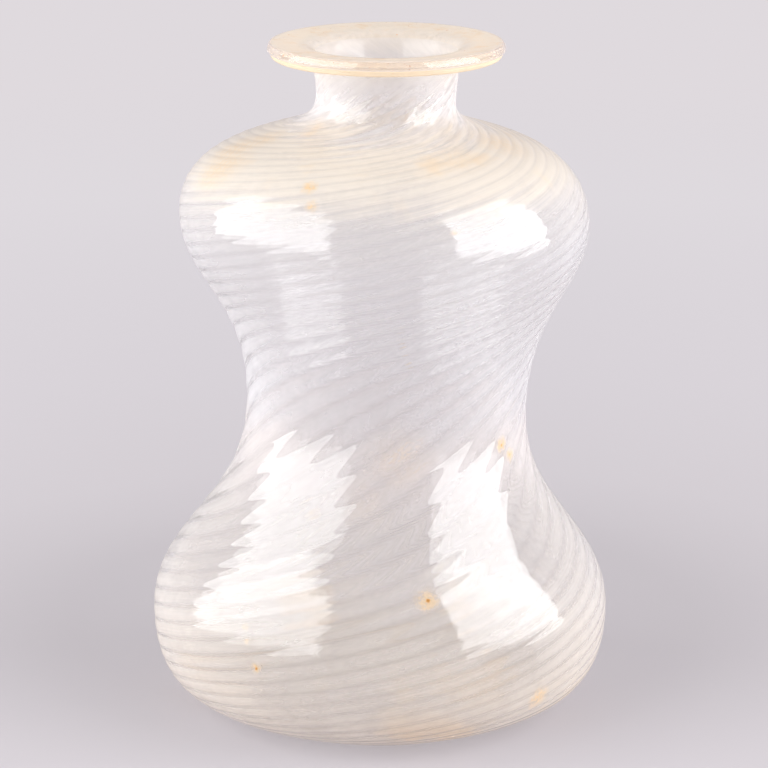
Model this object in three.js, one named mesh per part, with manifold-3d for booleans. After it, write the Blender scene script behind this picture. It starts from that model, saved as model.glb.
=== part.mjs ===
// A free-blown glass bottle: two bulbs with a drawn-in waist, ribs that were moulded straight and then
// twisted, a short neck and a wide rim folded back under itself.
// Millimetres, +Z up. The origin is the centre of the foot, on the surface that the bottle stands on.

import * as THREE from 'three';
import { mergeVertices } from 'three/addons/utils/BufferGeometryUtils.js';
import Module from 'manifold-3d';

const wasm = await Module();
wasm.setup();

// Foot ring and kick
const FOOT_RADIUS = 41;
const FOOT_WIDTH = 2.4;
const FOOT_ANGLE = 22;
const FOOT_FULLNESS = 12.4;
const KICK_HEIGHT = 11;
const KICK_RUN = 14;
const KICK_DROP = 6;

// Outside of the bubble: its radius where it stands upright, the rise from one such place to the next,
// and how far the wall stays full below and above each of them
const BELLY_RADIUS = 66.4;
const BELLY_HEIGHT = 29.9;
const BELLY_FULL_BELOW = 23.5;
const BELLY_FULL_ABOVE = 22.5;
const WAIST_RADIUS = 40.6;
const WAIST_RISE = 60.1;
const WAIST_FULL_BELOW = 30.4;
const WAIST_FULL_ABOVE = 31.6;
const BULB_RADIUS = 58.8;
const BULB_RISE = 55.4;
const BULB_FULL_BELOW = 17.2;
const BULB_FULL_ABOVE = 27.4;
const NECK_RADIUS = 20;
const NECK_RISE = 33;
const NECK_FULL_BELOW = 10.7;
const NECK_FULL_ABOVE = 7;
const NECK_LENGTH = 13.6;
const NECK_FLARE = 1.6;
const NECK_FLARE_RUN = 4;
const NECK_ROOT = 5;

// Glass
const WALL = 2.2;
const BASE_WALL = 3.6;
const SIDE_START = 14;

// Ribs, and the twist that they were given: degrees for each millimetre of wall, least at the waist
const RIBS = 22;
const RIB_SHARE = 0.07;
const KICK_RIB_DEPTH = 0.45;
const RIB_FADE = 9;
const TIGHT_TWIST = 4.5;
const LOOSE_TWIST = 1.85;
const TWIST_REACH = 88;
const LOOSEST_HEIGHT = 77;
const KICK_TWIST = 1.6;

// How far the upper bulb and the neck stand off the foot's axis. The bottle starts to lean a little above
// the belly, leans most a little above the waist, and leans the other way below the shoulder.
const BULB_LEAN = 2.8;
const BULB_LEAN_START = 11;
const BULB_LEAN_RISE = 31;
const NECK_LEAN = 1.9;
const SHOULDER_DROP = 5;

// Rim
const RIM_RADIUS = 34;
const RIM_EDGE = 4.5;
const RIM_LAYER = 2.1;
const RIM_CREST = 22.4;
const RIM_CREST_ROUND = 2.6;
const RIM_DISH = 0.5;
const RIM_SEAM = 0.4;
const RIM_FOLD = 8.6;
const RIM_SEAM_DEPTH = 5;
const RIM_COLLAR = 1.9;
const RIM_ROOT_RUN = 2.4;

// Pontil scar
const SCAR_RADIUS = 6.5;
const SCAR_THICKNESS = 1.5;
const SCAR_RING = 4.6;
const SCAR_HOLLOW = 0.8;
const SCAR_SEAT = 8;

// Facets
const COLUMNS = 28;
const ROWS_PER_RIB = 3;
const SCAR_COLUMNS = 18;
const SECTION_STEPS = 3;
const CURVE_STEPS = 400;
const TURN_STEP = 24;
const RUN_STEP = 15;

const bellyHeight = BELLY_HEIGHT;
const waistHeight = bellyHeight + WAIST_RISE;
const bulbHeight = waistHeight + BULB_RISE;
const neckHeight = bulbHeight + NECK_RISE;
const neckRoot = neckHeight - NECK_ROOT;
const shoulder = neckRoot - SHOULDER_DROP;
const neckTop = neckHeight + NECK_LENGTH;
const footOuter = FOOT_RADIUS + FOOT_WIDTH / 2;
const footInner = FOOT_RADIUS - FOOT_WIDTH / 2;

const point = (radius, height) => new THREE.Vector2(radius, height);
const degrees = THREE.MathUtils.degToRad;
const ease = (value, from, to) => THREE.MathUtils.smoothstep(value, from, to);

function wallCurve() {
  const path = new THREE.CurvePath();
  const foot = point(footOuter, 0);
  const angle = degrees(FOOT_ANGLE);
  const leave = foot.clone().add(point(Math.cos(angle), Math.sin(angle)).multiplyScalar(FOOT_FULLNESS));
  const belly = point(BELLY_RADIUS, bellyHeight);
  const waist = point(WAIST_RADIUS, waistHeight);
  const bulb = point(BULB_RADIUS, bulbHeight);
  const neck = point(NECK_RADIUS, neckHeight);
  const mouth = point(NECK_RADIUS + NECK_FLARE, neckTop);
  const below = (place, fullness) => point(place.x, place.y - fullness);
  const above = (place, fullness) => point(place.x, place.y + fullness);
  const flared = point(mouth.x - NECK_FLARE / 2, mouth.y - NECK_FLARE_RUN);
  path.add(new THREE.CubicBezierCurve(foot, leave, below(belly, BELLY_FULL_BELOW), belly));
  path.add(new THREE.CubicBezierCurve(
    belly, above(belly, BELLY_FULL_ABOVE), below(waist, WAIST_FULL_BELOW), waist));
  path.add(new THREE.CubicBezierCurve(
    waist, above(waist, WAIST_FULL_ABOVE), below(bulb, BULB_FULL_BELOW), bulb));
  path.add(new THREE.CubicBezierCurve(
    bulb, above(bulb, BULB_FULL_ABOVE), below(neck, NECK_FULL_BELOW), neck));
  path.add(new THREE.CubicBezierCurve(neck, above(neck, NECK_FULL_ABOVE), flared, mouth));
  return path;
}

// Places along a curve, each with its run along it and how far the curve has turned up to there
function places(curves) {
  const list = [];
  for (const curve of curves) {
    for (let step = 0; step <= CURVE_STEPS; step += 1) {
      const at = curve.getPoint(step / CURVE_STEPS);
      const tangent = curve.getTangent(step / CURVE_STEPS);
      const last = list.at(-1);
      if (!last) {
        list.push({ radius: at.x, height: at.y, tangent, run: 0, turn: 0, twist: 0, rate: 0 });
      } else if (last.radius !== at.x || last.height !== at.y) {
        const run = last.run + Math.hypot(at.x - last.radius, at.y - last.height);
        const bend = Math.acos(THREE.MathUtils.clamp(tangent.dot(last.tangent), -1, 1));
        const turn = last.turn + bend;
        list.push({ radius: at.x, height: at.y, tangent, run, turn, twist: 0, rate: 0 });
      }
    }
  }
  return list;
}

function between(low, high, share) {
  const mixed = { tangent: low.tangent };
  for (const key of ['radius', 'height', 'run', 'turn', 'twist', 'rate']) {
    mixed[key] = THREE.MathUtils.lerp(low[key], high[key], share);
  }
  return mixed;
}

// The place where a growing measure reaches a value
function placeAt(list, measure, value) {
  const found = list.findIndex((place, index) => index > 0 && measure(place) >= value);
  const next = found > 0 ? found : list.length - 1;
  const [low, high] = [list[next - 1], list[next]];
  const share = (value - measure(low)) / (measure(high) - measure(low));
  return between(low, high, THREE.MathUtils.clamp(share, 0, 1));
}

function slice(list, from, to) {
  const inside = list.filter((place) => place.height > from && place.height < to);
  return [placeAt(list, byHeight, from), ...inside, placeAt(list, byHeight, to)];
}

// Rings at even steps of a growing measure, one step being 1
function rings(list, measure) {
  const start = measure(list[0]);
  const whole = measure(list.at(-1)) - start;
  const count = Math.max(1, Math.ceil(whole));
  return Array.from({ length: count + 1 }, (_, index) => {
    return placeAt(list, measure, start + whole * index / count);
  });
}

const byShape = (place) => place.turn / degrees(TURN_STEP) + place.run / RUN_STEP;
const byTwist = (place) => place.twist;
const byHeight = (place) => place.height;

// The twist that the wall has taken, from the foot up
const wall = places(wallCurve().curves);
const loosestRun = placeAt(wall, byHeight, LOOSEST_HEIGHT).run;
for (let index = 1; index < wall.length; index += 1) {
  const [last, place] = [wall[index - 1], wall[index]];
  const tightness = ease(Math.abs(place.run - loosestRun), 0, TWIST_REACH);
  place.rate = degrees(THREE.MathUtils.lerp(LOOSE_TWIST, TIGHT_TWIST, tightness));
  place.twist = last.twist + place.rate * (place.run - last.run);
}
const wallRun = wall.at(-1).run;

// The ribs stand up as far as they stand apart lets them, and die away at the foot and the rim
function ribDepth(place) {
  const fade = ease(place.run, 0, RIB_FADE) * ease(wallRun - place.run, 0, RIB_FADE);
  const level = 2 * Math.PI * place.radius / RIBS;
  return RIB_SHARE * level / Math.hypot(1, place.rate * place.radius) * fade;
}

// The upper bulb and the neck each stand a little to one side, as they were blown
function lean(height) {
  const most = waistHeight + BULB_LEAN_RISE;
  const bulb = ease(height, bellyHeight + BULB_LEAN_START, most) - ease(height, most, shoulder);
  return BULB_LEAN * bulb + NECK_LEAN * ease(height, shoulder, neckHeight + NECK_FULL_ABOVE / 2);
}

const onWall = (radius, angle, height) => [
  lean(height) + radius * Math.cos(angle), radius * Math.sin(angle), height];

function solidOf(positions, triangles) {
  return new wasm.Manifold(new wasm.Mesh({
    numProp: 3,
    vertProperties: new Float32Array(positions.flat()),
    triVerts: new Uint32Array(triangles.flat()),
  }));
}

// Closes a ring of corners with a fan about its middle
function cap(positions, ring, facesUp) {
  const middle = [0, 1, 2].map((axis) => {
    return ring.reduce((sum, corner) => sum + positions[corner][axis], 0) / ring.length;
  });
  positions.push(middle);
  return ring.map((corner, index) => {
    const next = ring[(index + 1) % ring.length];
    return facesUp ? [positions.length - 1, corner, next] : [positions.length - 1, next, corner];
  });
}

// A closed solid over level rings, from its lowest to its highest
function ringSolid(ringList, columns, hollowAt = () => 0) {
  const positions = [];
  const triangles = [];
  const corner = (ring, column) => ring * columns + column % columns;
  ringList.forEach((place, ring) => {
    for (let column = 0; column < columns; column += 1) {
      const angle = 2 * Math.PI * column / columns;
      positions.push(onWall(place.radius - hollowAt(place, angle), angle + place.twist, place.height));
      if (ring > 0) {
        const [low, high] = [corner(ring - 1, column), corner(ring - 1, column + 1)];
        triangles.push([low, high, corner(ring, column)]);
        triangles.push([high, corner(ring, column + 1), corner(ring, column)]);
      }
    }
  });
  const ringOf = (ring) => Array.from({ length: columns }, (_, column) => corner(ring, column));
  triangles.push(...cap(positions, ringOf(0), false));
  triangles.push(...cap(positions, ringOf(ringList.length - 1), true));
  return solidOf(positions, triangles);
}

// The ribbed outside, from the foot to the mouth. Its facets run along the ribs: each row keeps to one
// line of the twist, from one upright column to the next and on round the bottle, so that a row passes
// the first column again a whole turn of rows higher. The rows end at the foot and at the mouth.
function ribbedSolid() {
  const rowsPerTurn = RIBS * ROWS_PER_RIB;
  const rowTurn = 2 * Math.PI / rowsPerTurn;
  const whole = wall.at(-1).twist;
  const positions = [];
  const known = new Map();
  const corner = (column, row) => {
    if (column === COLUMNS) {
      return corner(0, row + rowsPerTurn);
    }
    const angle = 2 * Math.PI * column / COLUMNS;
    const line = angle + row * rowTurn;
    const below = line < rowTurn / 3;
    const above = line > whole - rowTurn / 3;
    const twist = below ? 0 : above ? whole : line;
    const name = `${column} ${twist}`;
    if (!known.has(name)) {
      const place = placeAt(wall, byTwist, twist);
      const hollow = ribDepth(place) * (1 - Math.cos(2 * Math.PI * row / ROWS_PER_RIB)) / 2;
      known.set(name, positions.length);
      positions.push(onWall(place.radius - hollow, angle, place.height));
    }
    return known.get(name);
  };
  const triangles = [];
  for (let row = -rowsPerTurn; row * rowTurn < whole; row += 1) {
    for (let column = 0; column < COLUMNS; column += 1) {
      const [start, end] = [corner(column, row), corner(column + 1, row)];
      const [over, far] = [corner(column, row + 1), corner(column + 1, row + 1)];
      triangles.push([start, end, over], [end, far, over]);
    }
  }
  const ringAt = (twist) => {
    return Array.from({ length: COLUMNS }, (_, column) => known.get(`${column} ${twist}`));
  };
  const sides = triangles.filter((triangle) => new Set(triangle).size === 3);
  const caps = [...cap(positions, ringAt(0), false), ...cap(positions, ringAt(whole), true)];
  return solidOf(positions, [...sides, ...caps]);
}

function geometryOf(manifold) {
  const { vertProperties, triVerts } = manifold.getMesh();
  const geometry = new THREE.BufferGeometry();
  geometry.setAttribute('position', new THREE.BufferAttribute(vertProperties, 3));
  geometry.setIndex(new THREE.BufferAttribute(triVerts, 1));
  geometry.computeVertexNormals();
  return geometry;
}

// A surface moved into the glass, square to itself
const movedIn = (list, thickness) => list.map((place) => ({
  ...place,
  radius: place.radius - thickness * place.tangent.y,
  height: place.height + thickness * place.tangent.x,
  twist: 0,
}));
const moved = movedIn(wall, WALL);

// The kick in section, from the flat at its top down to the foot ring
const kickCurve = new THREE.CubicBezierCurve(
  point(SCAR_SEAT, KICK_HEIGHT), point(SCAR_SEAT + KICK_RUN, KICK_HEIGHT),
  point(footInner - KICK_DROP, KICK_DROP), point(footInner, 0));
const kick = places([kickCurve]);

// The floor inside follows the kick, then runs in one hollow curve over the foot and up to the side
function floorRings(side) {
  const crown = movedIn(kick, BASE_WALL).filter((place) => place.radius < footInner - KICK_DROP);
  const shoulder = crown.at(-1);
  const leave = point(shoulder.radius, shoulder.height);
  const join = point(side.radius, side.height);
  const reach = join.distanceTo(leave) / 3;
  const corner = new THREE.CubicBezierCurve(
    leave, leave.clone().addScaledVector(shoulder.tangent, reach),
    join.clone().addScaledVector(side.tangent, -reach), join);
  return [...rings(crown, byShape).slice(0, -1), ...rings(places([corner]), byShape).slice(0, -1)];
}

function hollowSolid() {
  const side = placeAt(moved, byHeight, SIDE_START);
  const list = slice(moved, side.height, neckTop);
  const past = { ...list.at(-1), height: neckTop + WALL };
  return ringSolid([...floorRings(side), ...rings(list, byShape), past], COLUMNS);
}

// The kick: a low dome under the base, with a flat at its top where the scar sits. The ribs run on
// under the base and lie in the dome.
function kickSolid() {
  const whole = kick.at(-1).run;
  const hollowAt = (place, angle) => {
    const fade = ease(place.run, 0, RIB_FADE) * ease(whole - place.run, 0, RIB_FADE);
    return KICK_RIB_DEPTH * fade * (1 + Math.cos(RIBS * angle)) / 2;
  };
  const dome = rings(kick, byShape).reverse().map((place) => {
    return { ...place, twist: degrees(KICK_TWIST) * (place.run - whole) };
  });
  const under = { ...dome[0], height: -WALL };
  return ringSolid([under, ...dome], RIBS * ROWS_PER_RIB, hollowAt);
}

function slab(from, to) {
  const width = 4 * BELLY_RADIUS;
  const geometry = new THREE.BoxGeometry(width, width, to - from);
  geometry.translate(0, 0, (from + to) / 2);
  geometry.deleteAttribute('normal');
  geometry.deleteAttribute('uv');
  const merged = mergeVertices(geometry);
  return new wasm.Manifold(new wasm.Mesh({
    numProp: 3,
    vertProperties: merged.attributes.position.array,
    triVerts: new Uint32Array(merged.index.array),
  }));
}

// A solid of revolution about Z. Its outline runs anticlockwise in section, from radius to height, and
// closes on itself or starts and ends on the axis.
function revolve(outline, segments) {
  const geometry = new THREE.LatheGeometry(outline, segments);
  geometry.rotateX(Math.PI / 2);
  geometry.deleteAttribute('normal');
  geometry.deleteAttribute('uv');
  const merged = mergeVertices(geometry, 1e-4);
  merged.computeVertexNormals();
  return merged;
}

// The rim in section: from its seat on the neck out under the upper layer, into the seam, round the end
// of the fold, out under the lower layer, up round the folded edge, over the dished top and down the bore
function rimGeometry() {
  const seatInner = NECK_RADIUS + NECK_FLARE - WALL;
  const seatOuter = NECK_RADIUS + NECK_FLARE;
  const layerFloor = RIM_COLLAR;
  const top = layerFloor + RIM_LAYER;
  const crest = top - RIM_DISH;
  const round = RIM_EDGE / 2;
  const edge = RIM_RADIUS - round;
  const seamFloor = layerFloor - RIM_SEAM;
  const under = top - RIM_EDGE;
  const foldRound = (seamFloor - under) / 2;
  const foldEnd = RIM_RADIUS - RIM_FOLD + foldRound;
  const seamEnd = RIM_RADIUS - RIM_FOLD + RIM_SEAM_DEPTH;
  const shape = new THREE.Path();
  shape.moveTo(seatInner, 0);
  shape.lineTo(seatOuter, 0);
  shape.quadraticCurveTo(seatOuter, layerFloor, seatOuter + RIM_ROOT_RUN, layerFloor);
  shape.lineTo(seamEnd, layerFloor);
  shape.lineTo(seamEnd + RIM_SEAM, layerFloor - RIM_SEAM / 2);
  shape.lineTo(seamEnd, seamFloor);
  shape.lineTo(foldEnd, seamFloor);
  shape.absarc(foldEnd, under + foldRound, foldRound, Math.PI / 2, Math.PI * 3 / 2, false);
  shape.lineTo(edge, under);
  shape.absarc(edge, top - round, round, -Math.PI / 2, Math.PI / 2, false);
  shape.lineTo(RIM_CREST, crest);
  shape.quadraticCurveTo(RIM_CREST - RIM_CREST_ROUND, crest, seatInner, 0);
  return revolve(shape.getPoints(SECTION_STEPS), COLUMNS);
}

// A flat wad against the kick, with a broken ring on its underside
function scarGeometry() {
  const shape = new THREE.Path();
  shape.moveTo(0, SCAR_HOLLOW - SCAR_THICKNESS);
  shape.quadraticCurveTo(SCAR_RING - SCAR_HOLLOW, SCAR_HOLLOW - SCAR_THICKNESS, SCAR_RING, -SCAR_THICKNESS);
  shape.quadraticCurveTo(SCAR_RADIUS, -SCAR_THICKNESS, SCAR_RADIUS, 0);
  shape.lineTo(0, 0);
  return revolve(shape.getPoints(SECTION_STEPS), SCAR_COLUMNS);
}

const glass = (color, roughness) => new THREE.MeshStandardMaterial({ color, roughness, metalness: 0 });

function part(name, geometry, material, position = [0, 0, 0]) {
  const mesh = new THREE.Mesh(geometry, material);
  mesh.name = name;
  mesh.position.set(...position);
  return mesh;
}

// The blown wall, from the kick to the mouth, and the zones that it is parted into
const blown = ribbedSolid().subtract(kickSolid()).subtract(hollowSolid());
const zone = (from, to) => geometryOf(blown.intersect(slab(from, to)));

const bottle = new THREE.Group();
bottle.name = 'glass_bottle';
bottle.add(
  part('lower_bulb', zone(-WALL, waistHeight), glass(0xc3c0bd, 0.12)),
  part('upper_bulb', zone(waistHeight, neckRoot), glass(0xc6c2bb, 0.12)),
  part('neck', zone(neckRoot, neckTop + WALL), glass(0xc4bfbf, 0.12)),
  part('rim', rimGeometry(), glass(0xcdb98f, 0.25), [lean(neckTop), 0, neckTop]),
  part('pontil_scar', scarGeometry(), glass(0xb9b2a4, 0.5), [lean(0), 0, KICK_HEIGHT]),
);

export default bottle;
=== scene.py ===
import bisect
import math
import random

import bpy
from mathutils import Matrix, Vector


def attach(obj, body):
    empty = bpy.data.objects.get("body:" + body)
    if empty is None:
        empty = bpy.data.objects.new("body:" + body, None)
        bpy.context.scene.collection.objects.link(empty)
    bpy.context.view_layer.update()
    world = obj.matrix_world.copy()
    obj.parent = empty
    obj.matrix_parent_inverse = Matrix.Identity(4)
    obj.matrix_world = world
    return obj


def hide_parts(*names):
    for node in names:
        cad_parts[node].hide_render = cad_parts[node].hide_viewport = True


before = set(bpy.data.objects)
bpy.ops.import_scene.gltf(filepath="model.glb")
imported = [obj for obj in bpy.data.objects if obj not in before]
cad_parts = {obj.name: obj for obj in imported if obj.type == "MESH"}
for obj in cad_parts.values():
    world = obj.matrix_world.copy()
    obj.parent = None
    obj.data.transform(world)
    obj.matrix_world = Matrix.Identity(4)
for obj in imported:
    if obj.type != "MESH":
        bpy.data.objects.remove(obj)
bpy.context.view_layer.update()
bpy.ops.object.select_all(action="DESELECT")

# The blown wall: lower bulb, upper bulb, neck and folded rim are one bubble of clear soda glass. It
# was blown into a mould with 22 straight ribs, twisted while hot, drawn in at the waist and blown
# again. The mouth was then turned out flat and folded back under itself.
MM = 0.001
# Places on the outline are (radius, height) in millimetres
FOOT_OUTER = 42.2
FOOT_INNER = 39.8
FOOT_ANGLE = 22
FOOT_FULLNESS = 12.4
BELLY = (66.4, 29.9)
WAIST = (40.6, 90.0)
BULB = (58.8, 145.4)
NECK = (20.0, 178.4)
FLARED = (20.8, 188.0)
MOUTH = (21.6, 192.0)
# How far the outline runs straight up and down before it bends away: below and above each place
BELLY_PULLS = (-23.5, 22.5)
WAIST_PULLS = (-30.4, 31.6)
BULB_PULLS = (-17.2, 27.4)
NECK_PULLS = (-10.7, 7.0)
WALL = 2.2
WALL_RINGS = 100
RIBS = 22
# One rib across its columns, from crest to groove and back, and the ribs' depth as a share of their
# spacing: at the waist and the neck, and on the bulbs
RIB_WAVE = (0.0, 0.27, 1.0, 0.27)
RIB_SHARE = 0.045
BULB_RIB_SHARE = 0.031
BULB_RIB_RADIUS = 54.0
COLUMNS = RIBS * len(RIB_WAVE)
RIB_FADE = 9.0
# The twist in degrees for each millimetre of wall: tight at the foot and the neck, loosest between
TIGHT_TWIST = 4.5
LOOSE_TWIST = 1.85
TWIST_REACH = 88.0
LOOSEST_HEIGHT = 77.0
# The upper half leans to one side
BULB_LEAN = 2.8
NECK_LEAN = 1.9
LEAN_START = BELLY[1] + 11.0
LEAN_MOST = WAIST[1] + 31.0
SHOULDER = NECK[1] - 10.0
LEAN_END = NECK[1] + 3.5


def ease(value, start, end):
    share = min(max((value - start) / (end - start), 0.0), 1.0)
    return share * share * (3 - 2 * share)


def lean(height):
    bulb = ease(height, LEAN_START, LEAN_MOST) - ease(height, LEAN_MOST, SHOULDER)
    return BULB_LEAN * bulb + NECK_LEAN * ease(height, SHOULDER, LEAN_END)


def curve_points(start, leave, arrive, end, steps=400):
    found = []
    for step in range(steps + 1):
        t = step / steps
        weights = ((1 - t) ** 3, 3 * t * (1 - t) ** 2, 3 * t * t * (1 - t), t ** 3)
        found.append(tuple(
            sum(w * p[axis] for w, p in zip(weights, (start, leave, arrive, end)))
            for axis in (0, 1)))
    return found


def above(place, rise):
    return (place[0], place[1] + rise)


def runs(points):
    total = [0.0]
    for last, place in zip(points, points[1:]):
        total.append(total[-1] + math.dist(last, place))
    return total


def value_at(keys, values, key):
    index = min(max(bisect.bisect_left(keys, key), 1), len(keys) - 1)
    span = keys[index] - keys[index - 1]
    share = (key - keys[index - 1]) / span if span else 0.0
    return values[index - 1] + (values[index] - values[index - 1]) * share


foot_turn = math.radians(FOOT_ANGLE)
foot_leave = (
    FOOT_OUTER + FOOT_FULLNESS * math.cos(foot_turn), FOOT_FULLNESS * math.sin(foot_turn))
outline = []
for curve in (
        ((FOOT_OUTER, 0.0), foot_leave, above(BELLY, BELLY_PULLS[0]), BELLY),
        (BELLY, above(BELLY, BELLY_PULLS[1]), above(WAIST, WAIST_PULLS[0]), WAIST),
        (WAIST, above(WAIST, WAIST_PULLS[1]), above(BULB, BULB_PULLS[0]), BULB),
        (BULB, above(BULB, BULB_PULLS[1]), above(NECK, NECK_PULLS[0]), NECK),
        (NECK, above(NECK, NECK_PULLS[1]), FLARED, MOUTH)):
    outline += curve_points(*curve)[(1 if outline else 0):]
wall_runs = runs(outline)
wall_run = wall_runs[-1]
radii = [place[0] for place in outline]
heights = [place[1] for place in outline]
loosest = value_at(heights, wall_runs, LOOSEST_HEIGHT)
twists = [0.0]
rates = []
for run, last in zip(wall_runs[1:], wall_runs):
    share = ease(abs(run - loosest), 0.0, TWIST_REACH)
    rates.append(math.radians(LOOSE_TWIST + (TIGHT_TWIST - LOOSE_TWIST) * share))
    twists.append(twists[-1] + rates[-1] * (run - last))
rates.append(rates[-1])


def wall_ring(key, thickness=0.0):
    """A ring of the wall's outside, or of its inside at a thickness: radius, height, turn, depth"""
    reach = 0.2
    low, high = max(key - reach, 0.0), min(key + reach, wall_run)
    along = (value_at(wall_runs, radii, high) - value_at(wall_runs, radii, low)) / (high - low)
    rise = (value_at(wall_runs, heights, high) - value_at(wall_runs, heights, low)) / (high - low)
    radius = value_at(wall_runs, radii, key)
    rate = value_at(wall_runs, rates, key)
    spacing = 2 * math.pi * radius / RIBS / math.hypot(1.0, rate * radius)
    on_bulb = ease(radius, WAIST[0], BULB_RIB_RADIUS)
    rib_share = RIB_SHARE + (BULB_RIB_SHARE - RIB_SHARE) * on_bulb
    fade = ease(key, 0.0, RIB_FADE) * ease(wall_run - key, 0.0, RIB_FADE)
    # Flat faces between turned rings cut the corner, so the ring is drawn that much wider
    shear = rate * wall_run / WALL_RINGS
    return (
        (radius - thickness * rise) / (1 - shear * shear / 8),
        value_at(wall_runs, heights, key) + thickness * along,
        value_at(wall_runs, twists, key), rib_share * spacing * fade)


# Under the base, from the flat where the iron was broken off, down the kick to the foot ring. Each
# ring is (radius, height, turn about the axis, depth of the ribs).
KICK_HEIGHT = 11.0
CENTRE_RING = 1.0
KICK_FLAT = 8.0
KICK_RINGS = 16
KICK_TWIST = 1.6
KICK_RIB_DEPTH = 0.45
rings = [(CENTRE_RING, KICK_HEIGHT, 0.0, 0.0), (4.5, KICK_HEIGHT, 0.0, 0.0)]
kick = curve_points(
    (KICK_FLAT, KICK_HEIGHT), (22.0, KICK_HEIGHT), (FOOT_INNER - 6.0, 6.0), (FOOT_INNER, 0.0))
kick_runs = runs(kick)
for index in range(KICK_RINGS):
    key = kick_runs[-1] * index / KICK_RINGS
    fade = ease(key, 0.0, RIB_FADE) * ease(kick_runs[-1] - key, 0.0, RIB_FADE)
    rings.append((
        value_at(kick_runs, [p[0] for p in kick], key),
        value_at(kick_runs, [p[1] for p in kick], key),
        math.radians(KICK_TWIST) * (key - kick_runs[-1]), KICK_RIB_DEPTH * fade))
FOOT = ((39.9, 0.1), (40.3, 0.0), (41.0, 0.0), (41.7, 0.0))
rings += [(r, z, 0.0, 0.0) for r, z in FOOT]

# Up the ribbed outside. The ribs stand as high as their spacing lets them. The first ring keeps
# clear of the foot ring's edge.
FIRST_RUN = 0.4
for index in range(WALL_RINGS + 1):
    rings.append(wall_ring(max(FIRST_RUN, wall_run * index / WALL_RINGS)))
whole_twist = rings[-1][2]


# Round the folded rim: under the upper layer into the seam, round the fold, under the lower layer,
# over the rolled edge, in across the dished top and down into the bore
def arc(middle, radius, start, end, steps=5):
    return [(
        middle[0] + radius * math.cos(math.radians(start + (end - start) * i / steps)),
        middle[1] + radius * math.sin(math.radians(start + (end - start) * i / steps)))
        for i in range(steps + 1)]


UNDER_UPPER_LAYER = [
    (22.0, 193.1), (22.7, 193.7), (24.0, 193.9), (27.0, 193.9), (30.2, 193.9), (30.8, 193.75)]
SEAM = [(30.2, 193.55), (28.5, 193.5), (26.6, 193.5)]
FOLD = arc((26.4, 192.5), 1.0, 90, 270)[1:]
LOWER_LAYER = [(28.6, 191.5)]
LOWER_EDGE = arc((31.9, 192.6), 1.1, -90, 20)
CREASE = [(33.05, 193.1), (33.2, 193.25), (33.55, 193.4), (33.85, 193.65)]
ROLLED_EDGE = arc((29.6, 193.4), 4.35, 8, 34)
DISH = [
    (32.85, 196.0), (32.3, 196.0), (31.4, 195.93), (29.4, 195.75), (26.6, 195.6), (24.2, 195.45)]
BORE_EDGE = [(22.7, 195.2), (21.4, 194.65), (20.2, 193.5)]
for stretch in (
        UNDER_UPPER_LAYER, SEAM, FOLD, LOWER_LAYER, LOWER_EDGE, CREASE, ROLLED_EDGE, DISH,
        BORE_EDGE):
    rings += [(r, z, whole_twist, 0.0) for r, z in stretch]

# Down the inside, which shows the ribs only faintly, and over the floor. The ribbed side ends above
# SIDE_START, and a round corner leads from there to the floor.
SIDE_START = 14.0
FLOOR_SIDE = (37.8, 7.6)
BASE_WALL = 3.6
FLOOR_TOP = KICK_HEIGHT + BASE_WALL
CORNER_STEP = 4.0
CROWN_STEP = 5.0
first_inside = len(rings)
for index in range(WALL_RINGS, 0, -1):
    place = wall_ring(wall_run * index / WALL_RINGS, WALL)
    if place[1] > SIDE_START:
        rings.append(place)
last_ribbed = len(rings)
inner_side = rings[-1][:2]
inner_turn = rings[-1][2]
corner = curve_points(inner_side, (57.6, 8.0), (48.0, 3.6), FLOOR_SIDE)
crown = curve_points(FLOOR_SIDE, (30.0, 10.9), (20.0, FLOOR_TOP), (KICK_FLAT, FLOOR_TOP))
for points, step in ((corner, CORNER_STEP), (crown, CROWN_STEP)):
    along = runs(points)
    count = max(1, round(along[-1] / step))
    for index in range(1, count + 1):
        key = along[-1] * index / count
        rings.append((
            value_at(along, [p[0] for p in points], key),
            value_at(along, [p[1] for p in points], key), inner_turn, 0.0))
rings.append((CENTRE_RING, FLOOR_TOP, inner_turn, 0.0))

# The hot bubble is drawn on ring by ring: each ring is extruded from the last, opened or narrowed,
# and turned with the twist
radius, height, turn = rings[0][:3]
bpy.ops.mesh.primitive_circle_add(vertices=COLUMNS, radius=radius * MM, location=(0, 0, 0))
wall = bpy.context.object
wall.name = "blown_wall"
wall.data.name = "blown_wall"
bpy.ops.object.mode_set(mode="EDIT")
bpy.ops.mesh.select_all(action="SELECT")
bpy.ops.transform.translate(value=(lean(height) * MM, 0, height * MM))
for place in rings[1:]:
    shift = ((lean(place[1]) - lean(height)) * MM, 0, (place[1] - height) * MM)
    bpy.ops.mesh.extrude_region_move(TRANSFORM_OT_translate={"value": shift})
    centre = (lean(place[1]) * MM, 0, place[1] * MM)
    open_by = place[0] / radius
    bpy.ops.transform.resize(value=(open_by, open_by, 1), center_override=centre)
    if place[2] != turn:
        bpy.ops.transform.rotate(value=turn - place[2], orient_axis="Z", center_override=centre)
    radius, height, turn = place[:3]
bpy.ops.mesh.edge_face_add()
bpy.ops.mesh.poke()
bpy.ops.mesh.select_all(action="DESELECT")
bpy.ops.object.mode_set(mode="OBJECT")
for vertex in wall.data.vertices[:COLUMNS]:
    vertex.select = True
bpy.ops.object.mode_set(mode="EDIT")
bpy.ops.mesh.select_mode(type="VERT")
bpy.ops.mesh.edge_face_add()
bpy.ops.mesh.poke()
bpy.ops.mesh.select_all(action="SELECT")
bpy.ops.mesh.normals_make_consistent(inside=False)
bpy.ops.object.mode_set(mode="OBJECT")

# The ribs are pressed in between their crests, and the inside follows a little. The mesh keeps two
# measures for the film: how far down a groove a place lies, and where it lay before the twisting.
RIB_FOLLOW = 0.12
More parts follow.
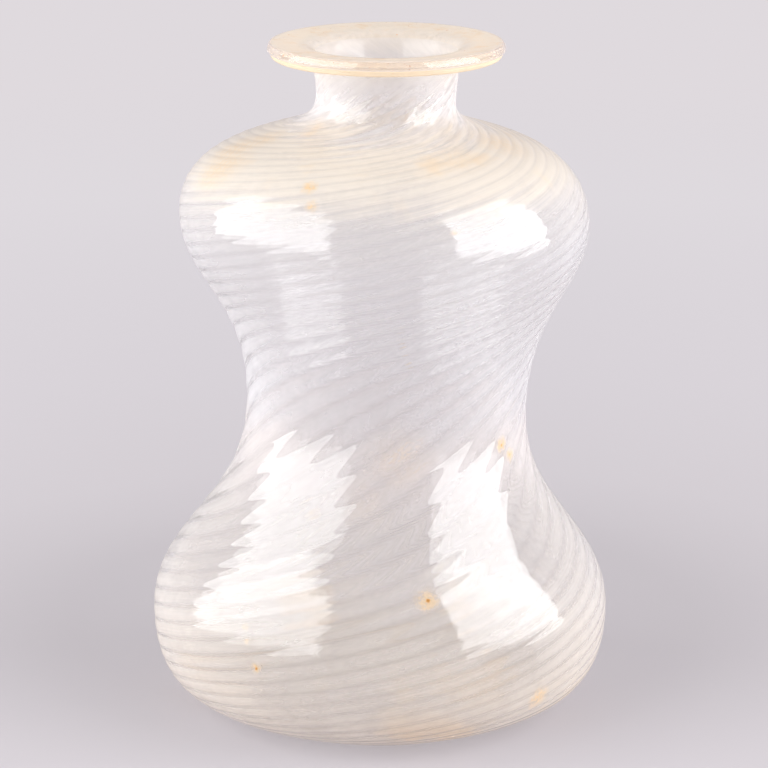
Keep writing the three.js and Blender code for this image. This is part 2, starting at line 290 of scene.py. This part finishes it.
# The depth at which a groove counts as full, and the share of a rib that smoothing leaves
FULL_GROOVE = 0.08
SMOOTHED_RIB = 0.75
deepest = max(place[3] for place in rings)
wall.vertex_groups.new(name="pressed")
wall.vertex_groups.new(name="followed")
groove = [0.0] * len(wall.data.vertices)
untwisted = [0.0] * (3 * len(wall.data.vertices))
for index, (radius, height, turn, depth) in enumerate(rings):
    group = "followed" if first_inside <= index < last_ribbed else "pressed"
    for column in range(COLUMNS):
        corner = index * COLUMNS + column
        angle = 2 * math.pi * column / COLUMNS
        untwisted[3 * corner:3 * corner + 3] = (
            radius * math.cos(angle) * MM, radius * math.sin(angle) * MM, height * MM)
        if depth:
            wave = RIB_WAVE[column % len(RIB_WAVE)]
            groove[corner] = wave * min(depth / FULL_GROOVE, 1.0)
            wall.vertex_groups[group].add([corner], depth / deepest * wave, "REPLACE")
wall.data.attributes.new("groove", "FLOAT", "POINT").data.foreach_set("value", groove)
wall.data.attributes.new("untwisted", "FLOAT_VECTOR", "POINT").data.foreach_set(
    "vector", untwisted)
for group, strength in (("pressed", -1.0), ("followed", RIB_FOLLOW)):
    press = wall.modifiers.new(group, "DISPLACE")
    press.direction = "NORMAL"
    press.mid_level = 0.0
    press.strength = strength * deepest / SMOOTHED_RIB * MM
    press.vertex_group = group
    bpy.ops.object.modifier_apply(modifier=group)
smooth = wall.modifiers.new("smooth", "SUBSURF")
smooth.levels = smooth.render_levels = 1
bpy.ops.object.modifier_apply(modifier="smooth")
bpy.ops.object.shade_smooth()


# Weather has left a thin pale film on the glass: cream on the shoulder and the rim, pinkish on the
# bulbs, thinnest on the neck and on the flanks above and below the waist. It lies in streaks along
# the ribs, thickest on their crests, with rust in a few places, and shows most seen edge on.
# Its colour also carries painted shade: grey in the grooves, and duller inside the neck and towards
# the bore.
def socket(source):
    return source.outputs[0] if hasattr(source, "outputs") else source


def feed(tree, made, place, value):
    if isinstance(value, (int, float, tuple)):
        made.inputs[place].default_value = value
    else:
        tree.links.new(socket(value), made.inputs[place])


def node(tree, kind, operation=None, **inputs):
    """Adds a node and feeds its inputs, each given by its label or, as in0 or in1, by its place"""
    made = tree.nodes.new(kind)
    if operation:
        made.operation = operation
    for name, value in inputs.items():
        name = name.replace("_", " ")
        feed(tree, made, int(name[2:]) if name[:2] == "in" and name[2:].isdigit() else name, value)
    return made


def maths(tree, operation, first, second=0.0):
    return node(tree, "ShaderNodeMath", operation, in0=first, in1=second)


def times(tree, first, second):
    return maths(tree, "MULTIPLY", first, second)


def plus(tree, first, second):
    return maths(tree, "ADD", first, second)


def minus(tree, first, second):
    return maths(tree, "SUBTRACT", first, second)


def noise(tree, place, scale, detail, **inputs):
    return node(
        tree, "ShaderNodeTexNoise", Vector=place, Scale=scale, Detail=detail, **inputs).outputs


def ramp(tree, source, stops):
    made = node(tree, "ShaderNodeValToRGB", Fac=source)
    marks = made.color_ramp.elements
    while len(marks) < len(stops):
        marks.new(0.5)
    for mark, (place, colour) in zip(marks, stops):
        mark.position = place
        mark.color = colour if isinstance(colour, tuple) else (colour, colour, colour, 1)
    return made


def spread(tree, source, band, to_low=0.0, to_high=1.0):
    """Rises or falls smoothly from one value to the other over a band of the source"""
    made = node(
        tree, "ShaderNodeMapRange", Value=source, From_Min=band[0], From_Max=band[1],
        To_Min=to_low, To_Max=to_high)
    made.interpolation_type = "SMOOTHSTEP"
    return made.outputs["Result"]


def blend(tree, share, first, second):
    made = tree.nodes.new("ShaderNodeMix")
    made.data_type = "RGBA"
    for place, value in ((0, share), (6, first), (7, second)):
        feed(tree, made, place, value)
    return made.outputs[2]


CREAM = (0.88, 0.81, 0.725, 1)
PEACH = (0.99, 0.905, 0.79, 1)
OCHRE = (0.90, 0.76, 0.57, 1)
PALE = (0.745, 0.73, 0.75, 1)
PINK = (0.765, 0.725, 0.70, 1)
ROSE = (0.86, 0.83, 0.83, 1)
SHADE_GREY = (0.47, 0.44, 0.45, 1)
DULL_BORE_SHADE = (0.79, 0.74, 0.70, 1)
MILKY = (0.84, 0.79, 0.82, 1)
BUFF = (0.79, 0.74, 0.73, 1)
SAND = (0.80, 0.735, 0.675, 1)
ORANGE = (0.91, 0.66, 0.38, 1)
RUST = (0.58, 0.27, 0.06, 1)
# The film's thickness outside and inside, its colour, and how far painted shade in the grooves
# greys it, all by the share of the bottle's height
HEIGHT = 0.196
OUTER_FILM = (
    (0.0, 0.42), (0.05, 0.38), (0.10, 0.34), (0.19, 0.32), (0.25, 0.16), (0.36, 0.17),
    (0.41, 0.20), (0.45, 0.20), (0.50, 0.22), (0.62, 0.23), (0.72, 0.21), (0.78, 0.24),
    (0.81, 0.6), (0.835, 1.1), (0.865, 1.0), (0.885, 0.30), (0.93, 0.17), (0.965, 0.20),
    (0.985, 0.55), (0.998, 0.95))
INNER_FILM = (
    (0.0, 0.55), (0.08, 0.45), (0.11, 0.16), (0.17, 0.11), (0.30, 0.11), (0.35, 0.26),
    (0.41, 0.44), (0.47, 0.26), (0.55, 0.08), (0.62, 0.06), (0.72, 0.08), (0.80, 0.25),
    (0.86, 0.30), (0.90, 0.14), (0.94, 0.32), (0.965, 0.55), (0.985, 0.9))
COLOUR_BY_HEIGHT = (
    (0.0, SAND), (0.09, SAND), (0.22, PINK), (0.33, PINK), (0.38, BUFF), (0.43, BUFF),
    (0.48, PALE), (0.72, PALE), (0.79, PINK), (0.82, CREAM), (0.87, CREAM), (0.90, ROSE),
    (0.95, ROSE), (0.975, PEACH))
GROOVE_SHADE_BY_HEIGHT = (
    (0.0, 0.42), (0.24, 0.36), (0.30, 0.28), (0.42, 0.35), (0.50, 0.5), (0.70, 0.45),
    (0.80, 0.16))
# Bands of height, in metres, over which a look comes in. A band that is written downwards fades the
# look out.
NECK_TO_RIM = (0.182, 0.190)
HAIR_COMES_BACK = (0.160, 0.178)
BODY_TO_SHOULDER = (0.148, 0.162)
LOW_SHOULDER = (0.154, 0.164)
HIGH_SHOULDER = (0.182, 0.176)
NEAR_FOOT = (0.025, 0.004)
NEAR_MOUTH = (0.176, 0.188)
# How far the film wanders up and down, how much of it the crests keep, how far it is worn out of
# the grooves on the body and on the shoulder, and how far the inside is spared from that
WANDER = 0.09
ON_CRESTS = 1.2
BODY_WEAR = 0.92
SHOULDER_WEAR = 0.3
INSIDE_SPARED = 0.7
STREAK_STRETCH = 0.16

film = bpy.data.node_groups.new("weather_film", "ShaderNodeTree")
for name, kind in (("Thickness", "Float"), ("Colour", "Color"), ("Gloss", "Float")):
    film.interface.new_socket(name, in_out="OUTPUT", socket_type="NodeSocket" + kind)
film.interface.new_socket("Inside", in_out="INPUT", socket_type="NodeSocketFloat")
inside = film.nodes.new("NodeGroupInput").outputs["Inside"]
outside = minus(film, 1.0, inside)
place = film.nodes.new("ShaderNodeTexCoord").outputs["Object"]
height = node(film, "ShaderNodeSeparateXYZ", Vector=place).outputs["Z"]
along = node(film, "ShaderNodeAttribute")
along.attribute_name = "untwisted"
streak_place = node(
    film, "ShaderNodeVectorMath", "MULTIPLY", in0=along.outputs["Vector"],
    in1=(1, 1, STREAK_STRETCH))
sunk = node(film, "ShaderNodeAttribute")
sunk.attribute_name = "groove"
ragged = noise(film, streak_place, scale=120.0, detail=4.0)["Fac"]
streaky = noise(film, streak_place, scale=420.0, detail=3.0)["Fac"]
patchy = noise(film, place, scale=34.0, detail=5.0, Roughness=0.62)["Fac"]
speckled = noise(film, place, scale=900.0, detail=2.0)["Fac"]
calm = spread(film, height, NECK_TO_RIM, 0.0, 0.7)
uncalm = minus(film, 1.0, calm)
shift = times(film, minus(film, ragged, 0.5), times(film, uncalm, WANDER))
share = plus(film, maths(film, "DIVIDE", height, HEIGHT), shift)
depth = plus(
    film, times(film, ramp(film, share, OUTER_FILM), outside),
    times(film, ramp(film, share, INNER_FILM), inside))
hair = times(
    film, spread(film, streaky, (0.35, 0.65), -0.25, 0.3),
    spread(film, height, HAIR_COMES_BACK, 0.25, 1.0))
uneven = times(film, spread(film, patchy, (0.32, 0.68), 0.65, 1.4), plus(film, hair, 1.0))
uneven = plus(film, times(film, uneven, uncalm), calm)
depth = times(film, depth, uneven)
near_ribs = times(
    film, sunk.outputs["Fac"], minus(film, 1.0, times(film, inside, INSIDE_SPARED)))
worn = times(
    film, near_ribs, spread(film, height, BODY_TO_SHOULDER, BODY_WEAR, SHOULDER_WEAR))
depth = times(film, depth, minus(film, ON_CRESTS, worn))
colour = ramp(film, share, COLOUR_BY_HEIGHT)

# The rim's film is mottled. Along its edge the upper fold is milky and glossy, and ochre dirt sits
# on the lower fold under it.
RIM_START = (0.1925, 0.1945)
BORE_TO_DISH = (0.0205, 0.0265)
UPPER_FOLD_OUT = (0.0316, 0.0325)
UPPER_FOLD_START = (0.1931, 0.1935)
UPPER_FOLD_END = (0.19605, 0.1958)
LOWER_FOLD_OUT = (0.026, 0.029)
LOWER_FOLD_START = (0.1912, 0.1914)
LOWER_FOLD_END = (0.1934, 0.1931)
LOWER_FOLD_DIRT = 0.6
UPPER_FOLD_CLEARED = 0.8
mottled = noise(film, place, scale=170.0, detail=5.0, Roughness=0.7)["Fac"]
on_rim = spread(film, height, RIM_START)
orange_share = times(film, on_rim, spread(film, mottled, (0.48, 0.72), 0.0, 0.5))
colour = blend(film, orange_share, colour, ORANGE)
bare_share = times(film, on_rim, spread(film, mottled, (0.3, 0.55), 0.35, 0.0))
depth = minus(film, depth, bare_share)
centred = node(
    film, "ShaderNodeVectorMath", "MULTIPLY_ADD", in0=place, in1=(1, 1, 0),
    in2=(-NECK_LEAN * MM, 0, 0))
out = node(film, "ShaderNodeVectorMath", "LENGTH", in0=centred).outputs["Value"]
# Towards the bore the rim's film is painted duller: painted shade leading into the bore
bore_shade_share = times(film, on_rim, spread(film, out, BORE_TO_DISH, 0.8, 0.0))
colour = blend(film, bore_shade_share, colour, DULL_BORE_SHADE)
upper_fold = times(
    film, spread(film, out, UPPER_FOLD_OUT),
    times(film, spread(film, height, UPPER_FOLD_START), spread(film, height, UPPER_FOLD_END)))
lower_fold = times(
    film, spread(film, out, LOWER_FOLD_OUT),
    times(film, spread(film, height, LOWER_FOLD_START), spread(film, height, LOWER_FOLD_END)))
depth = plus(film, depth, times(film, lower_fold, LOWER_FOLD_DIRT))
colour = blend(film, upper_fold, blend(film, lower_fold, colour, OCHRE), MILKY)
cleared = times(film, upper_fold, UPPER_FOLD_CLEARED)
depth = times(film, depth, minus(film, 1.0, cleared))

# Warm patches on the shoulder and near the foot, and grey painted shade in the grooves
WARM_TINT = 0.35
WARM_DEPTH = 0.7
warm_places = noise(film, place, scale=48.0, detail=3.0)["Fac"]
on_shoulder = times(film, spread(film, height, LOW_SHOULDER), spread(film, height, HIGH_SHOULDER))
warmth = times(
    film, spread(film, warm_places, (0.53, 0.68)),
    plus(film, on_shoulder, spread(film, height, NEAR_FOOT)))
colour = blend(film, times(film, warmth, WARM_TINT), colour, ORANGE)
# Grey painted into the grooves: painted shade along the ribs
groove_shade = times(film, spread(film, near_ribs, (0.35, 0.95)), ramp(film, share, GROOVE_SHADE_BY_HEIGHT))
colour = blend(film, groove_shade, colour, SHADE_GREY)
# Inside the neck near the mouth the film is painted duller: painted shade inside the bore
colour = blend(film, times(film, inside, spread(film, height, NEAR_MOUTH)), colour, DULL_BORE_SHADE)
depth = times(film, depth, plus(film, 1.0, times(film, warmth, WARM_DEPTH)))

# Rust: a dark core that stands in a ragged orange halo. Each spot is its place, the radii of its
# core and of the halo around it, and the halo's strength. The wide faint ones are stains, and the
# last six spots are at the back.
SPOTS = (
    ((13.4, -58.1, 48.8), 1.0, 5.2, 1.0), ((12.2, -58.6, 47.2), 0.4, 1.2, 1.0),
    ((14.9, -57.6, 48.0), 0.35, 1.2, 1.0), ((-34.5, -56.4, 28.0), 0.7, 2.2, 1.0),
    ((-37.3, -53.8, 35.7), 0.3, 1.8, 0.4), ((-37.6, -52.5, 39.1), 0.1, 1.8, 0.35),
    ((-19.2, -45.1, 163.2), 0.4, 3.2, 0.8), ((-18.6, -50.1, 159.0), 0.5, 2.8, 0.8),
    ((20.4, -54.5, 152.7), 0.35, 1.8, 0.8), ((34.7, -23.8, 84.0), 0.5, 3.4, 1.0),
    ((37.1, -21.1, 80.2), 0.4, 2.8, 1.0), ((45.1, -45.2, 15.7), 0.1, 5.0, 0.7),
    ((-40.9, -10.5, 166.8), 0.1, 12.0, 0.3), ((-44.3, -19.2, 163.4), 0.1, 13.0, 0.3),
    ((-33.3, -10.1, 169.5), 0.1, 9.0, 0.25), ((33.8, -12.8, 169.2), 0.1, 12.0, 0.2),
    ((20.8, -31.3, 168.7), 0.1, 10.0, 0.12), ((5.0, -41.5, 84.0), 0.1, 15.0, 0.3),
    ((-4.0, -45.0, 74.0), 0.1, 12.0, 0.2), ((-22.0, 58.0, 41.0), 0.8, 4.2, 1.0),
    ((41.0, 38.0, 60.0), 0.3, 2.4, 0.8), ((-51.0, 26.0, 150.0), 0.4, 2.6, 1.0),
    ((8.0, 40.5, 95.0), 0.3, 2.2, 1.0), ((30.0, 46.0, 156.0), 0.4, 2.8, 1.0),
    ((12.0, 44.0, 164.0), 0.1, 12.0, 0.3))
RAGGEDNESS = 0.0022
SOLID_CORE = 0.4
SOLID_HALO = 0.1
SPECKS_FROM = (0.185, 0.192)
HALO_TINT = 1.5
HALO_DEPTH = 0.7
CORE_DEPTH = 2.4
warped = noise(film, place, scale=420.0, detail=3.0)["Color"]
warped = node(film, "ShaderNodeVectorMath", "SUBTRACT", in0=warped, in1=(0.5, 0.5, 0.5))
warped = node(film, "ShaderNodeVectorMath", "SCALE", in0=warped, Scale=RAGGEDNESS)
warped = node(film, "ShaderNodeVectorMath", "ADD", in0=place, in1=warped)
cores, halos = 0.0, 0.0
for spot, core, halo, strength in SPOTS:
    middle = tuple(value * MM for value in spot)
    away = node(film, "ShaderNodeVectorMath", "DISTANCE", in0=warped, in1=middle).outputs["Value"]
    core_band = (core * SOLID_CORE * MM, core * MM)
    halo_band = (SOLID_HALO * halo * MM, halo * MM)
    cores = maths(film, "MAXIMUM", cores, spread(film, away, core_band, 1.0, 0.0))
    halos = maths(film, "MAXIMUM", halos, spread(film, away, halo_band, strength, 0.0))
halos = times(film, halos, spread(film, speckled, (0.35, 0.6), 0.5, 1.0))
specks = times(film, spread(film, speckled, (0.70, 0.78)), spread(film, height, SPECKS_FROM))
cores = times(film, maths(film, "MAXIMUM", cores, specks), outside)
halos = times(film, halos, outside)
colour = blend(film, maths(film, "MINIMUM", times(film, halos, HALO_TINT), 1.0), colour, ORANGE)
colour = blend(film, cores, colour, RUST)
depth = plus(film, depth, times(film, halos, HALO_DEPTH))
depth = plus(film, depth, times(film, cores, CORE_DEPTH))
given_out = film.nodes.new("NodeGroupOutput")
for name, source in (("Gloss", upper_fold), ("Thickness", depth), ("Colour", colour)):
    feed(film, given_out, name, source)


# Clear glass with the film on it. Lamps pass through the clear part.
GLASS_IOR = 1.5
GLASS_TINT = (0.995, 0.99, 0.985, 1)
LAMP_TINT = (0.96, 0.96, 0.96, 1)
OUTER_ROUGHNESS = 0.07
INNER_ROUGHNESS = 0.35
GLOW_THROUGH = 0.4
# Keeps the film's thickness within bounds where the wall is seen edge on
EDGE_LIMIT = 1.05


def new_material(name):
    made = bpy.data.materials.new(name)
    made.use_nodes = True
    made.node_tree.nodes.clear()
    return made, made.node_tree


def show(tree, kind, surface):
    feed(tree, tree.nodes.new(kind), "Surface", surface)


def lamps_pass(tree):
    path = tree.nodes.new("ShaderNodeLightPath").outputs
    return maths(tree, "MAXIMUM", path["Is Shadow Ray"], path["Is Diffuse Ray"])


def glass_material(name, inside, film_roughness):
    material, tree = new_material(name)
    layer = tree.nodes.new("ShaderNodeGroup")
    layer.node_tree = film
    layer.inputs["Inside"].default_value = inside
    facing = node(tree, "ShaderNodeLayerWeight", Blend=0.5).outputs["Facing"]
    square_on = minus(tree, EDGE_LIMIT, facing)
    depth = maths(tree, "DIVIDE", layer.outputs["Thickness"], square_on)
    cover = minus(tree, 1.0, maths(tree, "EXPONENT", times(tree, depth, -1.0)))
    glass = node(
        tree, "ShaderNodeBsdfPrincipled", Base_Color=GLASS_TINT, Transmission_Weight=1.0,
        Roughness=0.0, IOR=GLASS_IOR)
    open_way = node(tree, "ShaderNodeBsdfTransparent", Color=LAMP_TINT)
    clear = node(tree, "ShaderNodeMixShader", in0=lamps_pass(tree), in1=glass, in2=open_way)
    crust = node(
        tree, "ShaderNodeBsdfPrincipled", Base_Color=layer.outputs["Colour"],
        Roughness=film_roughness, Coat_Weight=layer.outputs["Gloss"])
    glow = node(tree, "ShaderNodeBsdfTranslucent", Color=layer.outputs["Colour"])
    haze = node(tree, "ShaderNodeMixShader", in0=GLOW_THROUGH, in1=crust, in2=glow)
    whole = node(tree, "ShaderNodeMixShader", in0=cover, in1=clear, in2=haze)
    show(tree, "ShaderNodeOutputMaterial", whole)
    return material


wall.data.materials.append(glass_material("blown_glass_outside", 0.0, OUTER_ROUGHNESS))
wall.data.materials.append(glass_material("blown_glass_inside", 1.0, INNER_ROUGHNESS))
base_quads = (len(rings) - 1) * COLUMNS
inside_from = (first_inside - 1) * COLUMNS
for face in wall.data.polygons:
    source = face.index // 4
    face.material_index = 1 if inside_from <= source < base_quads else 0
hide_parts("lower_bulb", "upper_bulb", "neck", "rim")
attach(wall, "root")

# The pontil scar: the hot tip of the iron rod's own wad of glass, stuck under the kick while the
# mouth was finished and then snapped off, which left a broken ring.
SCAR_TOP = 10.98
SCAR_RADIUS = 6.3
SCAR_MIDDLE = 1.0
SCAR_RINGS = (
    (6.4, 10.6), (6.2, 10.2), (5.7, 9.85), (5.2, 9.65), (4.8, 9.6), (4.4, 9.75), (3.8, 10.05),
    (2.8, 10.25), (1.4, 10.3))
SCAR_COLUMNS = 40
# The break is roughest along the middle of the ring, and its upper side stays whole
BREAK_RADIUS = 4.6
BREAK_REACH = 1.4
BREAK_TOP = 10.4
BREAK_DEPTH = 0.22
BREAK_SLIDE = 0.03
SHARP_ANGLE = 25
chance = random.Random(7)
bpy.ops.mesh.primitive_circle_add(
    vertices=SCAR_COLUMNS, radius=SCAR_RADIUS * MM, fill_type="TRIFAN",
    location=(0, 0, SCAR_TOP * MM))
scar = bpy.context.object
scar.name = "broken_scar"
bpy.ops.object.transform_apply(location=True)
bpy.ops.object.mode_set(mode="EDIT")
bpy.ops.mesh.select_all(action="DESELECT")
bpy.ops.object.mode_set(mode="OBJECT")
for vertex in scar.data.vertices:
    vertex.select = math.hypot(vertex.co.x, vertex.co.y) > SCAR_MIDDLE * MM
for edge in scar.data.edges:
    edge.select = all(scar.data.vertices[v].select for v in edge.vertices)
bpy.ops.object.mode_set(mode="EDIT")
bpy.ops.mesh.select_mode(type="EDGE")
radius, height = SCAR_RADIUS, SCAR_TOP
for place in SCAR_RINGS:
    bpy.ops.mesh.extrude_edges_move(
        TRANSFORM_OT_translate={"value": (0, 0, (place[1] - height) * MM)})
    open_by = place[0] / radius
    bpy.ops.transform.resize(
        value=(open_by, open_by, 1), center_override=(0, 0, place[1] * MM))
    radius, height = place
bpy.ops.mesh.edge_face_add()
bpy.ops.mesh.poke()
bpy.ops.mesh.select_all(action="SELECT")
bpy.ops.mesh.normals_make_consistent(inside=False)
bpy.ops.object.mode_set(mode="OBJECT")
for vertex in scar.data.vertices:
    from_break = abs(math.hypot(vertex.co.x, vertex.co.y) / MM - BREAK_RADIUS)
    broken = 1 - min(from_break / BREAK_REACH, 1.0)
    if vertex.co.z < BREAK_TOP * MM:
        vertex.co.z += chance.uniform(0.0, BREAK_DEPTH) * broken * MM
        slide = 1 + chance.uniform(-BREAK_SLIDE, BREAK_SLIDE) * broken
        vertex.co.x *= slide
        vertex.co.y *= slide
smooth = scar.modifiers.new("smooth", "SUBSURF")
smooth.levels = smooth.render_levels = 1
bpy.ops.object.modifier_apply(modifier="smooth")
bpy.ops.object.shade_smooth_by_angle(angle=math.radians(SHARP_ANGLE))
CHIPPED_GLASS = (0.95, 0.94, 0.92, 1)
material, tree = new_material("broken_glass")
place = tree.nodes.new("ShaderNodeTexCoord").outputs["Object"]
chips = node(tree, "ShaderNodeTexVoronoi", Vector=place, Scale=900.0)
dirt = noise(tree, place, scale=500.0, detail=4.0)["Fac"]
relief = node(
    tree, "ShaderNodeBump", Height=chips.outputs["Distance"], Strength=0.5, Distance=0.0003)
glass = node(
    tree, "ShaderNodeBsdfPrincipled",
    Base_Color=ramp(tree, dirt, ((0.35, CHIPPED_GLASS), (0.7, SAND))),
    Roughness=spread(tree, dirt, (0.3, 0.7), 0.12, 0.4), Transmission_Weight=0.75,
    IOR=GLASS_IOR, Normal=relief)
show(tree, "ShaderNodeOutputMaterial", glass)
scar.data.materials.append(material)
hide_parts("pontil_scar")
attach(scar, "root")

# Seeds: small bubbles of air that stayed in the glass. The twisting drew each one out along the
# ribs. The first two stand where the photograph shows a bright dot, and the rest are invented.
SEEDS = ((-4.6, -58.0, 146.0), (-0.8, -44.3, 71.7), (-37.4, -47.8, 47.0))
MORE_SEEDS = 15
LOWEST_SEED = 20.0
HIGHEST_SEED = 158.0
SEED_ROUND = 0.22
SEED_LONG = 0.55
SEED_DEPTH = 1.1
SMALLEST_SEED = 0.7
LARGEST_SEED = 1.2
seed_places = []
for seed in SEEDS:
    seed_places.append((math.atan2(seed[1], seed[0] - lean(seed[2])), seed[2]))
for _ in range(MORE_SEEDS):
    angle = chance.uniform(-math.pi, math.pi)
    seed_places.append((angle, chance.uniform(LOWEST_SEED, HIGHEST_SEED)))
bubbles = []
for angle, height in seed_places:
    key = value_at(heights, wall_runs, height)
    radius = value_at(wall_runs, radii, key)
    rate = value_at(wall_runs, rates, key)
    lead = Vector((-math.sin(angle) * rate * radius, math.cos(angle) * rate * radius, 1.0))
    size = chance.uniform(SMALLEST_SEED, LARGEST_SEED)
    bpy.ops.mesh.primitive_uv_sphere_add(
        segments=12, ring_count=8, radius=SEED_ROUND * size * MM,
        location=(
            (lean(height) + (radius - SEED_DEPTH) * math.cos(angle)) * MM,
            (radius - SEED_DEPTH) * math.sin(angle) * MM, height * MM),
        rotation=lead.to_track_quat("Z", "Y").to_euler(),
        scale=(1, 1, SEED_LONG / SEED_ROUND))
    bpy.ops.object.shade_smooth()
    bubbles.append(bpy.context.object)
bpy.ops.object.select_all(action="DESELECT")
for bubble in bubbles:
    bubble.select_set(True)
seeds = bubbles[0]
bpy.context.view_layer.objects.active = seeds
bpy.ops.object.join()
bpy.ops.object.transform_apply(location=True, rotation=True, scale=True)
seeds.name = "seeds"
material, tree = new_material("air_in_glass")
bubble_wall = node(tree, "ShaderNodeBsdfGlass", Roughness=0.0, IOR=1 / GLASS_IOR)
open_way = tree.nodes.new("ShaderNodeBsdfTransparent")
both = node(tree, "ShaderNodeMixShader", in0=lamps_pass(tree), in1=bubble_wall, in2=open_way)
show(tree, "ShaderNodeOutputMaterial", both)
seeds.data.materials.append(material)
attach(seeds, "root")

# The studio: a pale paper floor, painted darker near the bottle and paler away from it as painted
# shade, two tall soft boxes at the front left and the front right, and a pale room. What the camera
# sees of the paper, also in or through the glass, is partly a glow of its own, so the floor runs on
# into the room.
FLOOR_SIZE = 8.0
SHADE_REACH = 1.2
SHADE_MIDDLE = (0.0, 0.08, 0.0)
# The paper's colour is painted shade: darkest around the bottle and paler farther out
FLOOR_PAINTED_SHADE = (
    (0.0, (0.50, 0.465, 0.485, 1)), (0.08, (0.50, 0.465, 0.485, 1)),
    (0.13, (0.56, 0.52, 0.545, 1)), (0.25, (0.66, 0.62, 0.645, 1)),
    (0.60, (0.88, 0.835, 0.865, 1)), (1.0, (0.93, 0.885, 0.915, 1)))
BACKDROP = (0.74, 0.70, 0.73, 1)
# The glow is painted shade as well: darker near the bottle
FLOOR_GLOW_PAINTED_SHADE = (
    (0.0, (0.60, 0.56, 0.60, 1)), (0.083, (0.61, 0.57, 0.61, 1)), (0.107, (0.66, 0.62, 0.66, 1)),
    (0.14, (0.70, 0.66, 0.70, 1)), (0.25, (0.715, 0.675, 0.72, 1)), (0.52, (0.75, 0.715, 0.75, 1)),
    (0.75, BACKDROP))
GLOW_SHARE = ((0.0, 0.5), (0.13, 0.5), (0.25, 0.62), (0.52, 0.85), (0.75, 1.0))


def seen_by_camera(tree):
    path = tree.nodes.new("ShaderNodeLightPath").outputs
    through = maths(tree, "MAXIMUM", path["Is Glossy Ray"], path["Is Transmission Ray"])
    return maths(tree, "MAXIMUM", path["Is Camera Ray"], through)


bpy.ops.mesh.primitive_plane_add(size=FLOOR_SIZE, location=(0, 0, 0))
floor = bpy.context.object
floor.name = "floor"
material, tree = new_material("floor_paper")
place = tree.nodes.new("ShaderNodeTexCoord").outputs["Object"]
away = node(tree, "ShaderNodeVectorMath", "DISTANCE", in0=place, in1=SHADE_MIDDLE).outputs["Value"]
reach = maths(tree, "DIVIDE", away, SHADE_REACH)
matt = node(
    tree, "ShaderNodeBsdfPrincipled", Base_Color=ramp(tree, reach, FLOOR_PAINTED_SHADE), Roughness=0.7)
painted_glow = node(tree, "ShaderNodeEmission", Color=ramp(tree, reach, FLOOR_GLOW_PAINTED_SHADE), Strength=1.0)
glowing = times(tree, seen_by_camera(tree), ramp(tree, reach, GLOW_SHARE))
both = node(tree, "ShaderNodeMixShader", in0=glowing, in1=matt, in2=painted_glow)
show(tree, "ShaderNodeOutputMaterial", both)
floor.data.materials.append(material)

# Each soft box: its name, the way to it from the bottle and half its width in degrees, its level
# and its tint
BOXES = (
    ("left_box", -68, 38, 3.75, (0.97, 0.995, 0.995)),
    ("right_box", 70, 30, 4.5, (0.975, 0.99, 1.0)))
BOX_DISTANCE = 0.9
BOX_TOP = 1.22
for name, azimuth, half_width, level, tint in BOXES:
    turn = math.radians(azimuth)
    place = Vector((BOX_DISTANCE * math.sin(turn), -BOX_DISTANCE * math.cos(turn), BOX_TOP / 2))
    bpy.ops.object.light_add(type="AREA", location=place)
    box = bpy.context.object
    box.name = name
    box.data.shape = "RECTANGLE"
    box.data.size = 2 * BOX_DISTANCE * math.tan(math.radians(half_width))
    box.data.size_y = BOX_TOP
    box.data.energy = level * math.pi * box.data.size * box.data.size_y
    box.data.color = tint
    facing = Vector((-place.x, -place.y, 0))
    box.rotation_euler = facing.to_track_quat("-Z", "Y").to_euler()
    box.visible_camera = False

ROOM_TINT = (1.0, 0.98, 0.98, 1)
ROOM_LEVEL = 0.27
world = bpy.data.worlds.new("room")
bpy.context.scene.world = world
world.use_nodes = True
tree = world.node_tree
tree.nodes.clear()
backdrop = node(tree, "ShaderNodeBackground", Color=BACKDROP, Strength=1.0)
fill = node(tree, "ShaderNodeBackground", Color=ROOM_TINT, Strength=ROOM_LEVEL)
both = node(tree, "ShaderNodeMixShader", in0=seen_by_camera(tree), in1=fill, in2=backdrop)
show(tree, "ShaderNodeOutputWorld", both)

# The camera, at the photograph's height and distance. Its lens was fitted in pixels of the
# photograph's width.
CAMERA_SIDE = 0.0012
CAMERA_DISTANCE = 1.1
CAMERA_HEIGHT = 0.389
AIM_HEIGHT = 0.09557
LENS_PIXELS = 3931.7
PHOTOGRAPH_WIDTH = 768
SENSOR_WIDTH = 36.0
bpy.ops.object.camera_add(location=(CAMERA_SIDE, -CAMERA_DISTANCE, CAMERA_HEIGHT))
camera = bpy.context.object
camera.name = "photograph"
camera.data.sensor_width = SENSOR_WIDTH
camera.data.lens = LENS_PIXELS / PHOTOGRAPH_WIDTH * SENSOR_WIDTH
aim = Vector((CAMERA_SIDE, 0.0, AIM_HEIGHT)) - camera.location
camera.rotation_euler = aim.to_track_quat("-Z", "Y").to_euler()
bpy.context.scene.camera = camera
bpy.context.scene.view_settings.view_transform = "Standard"
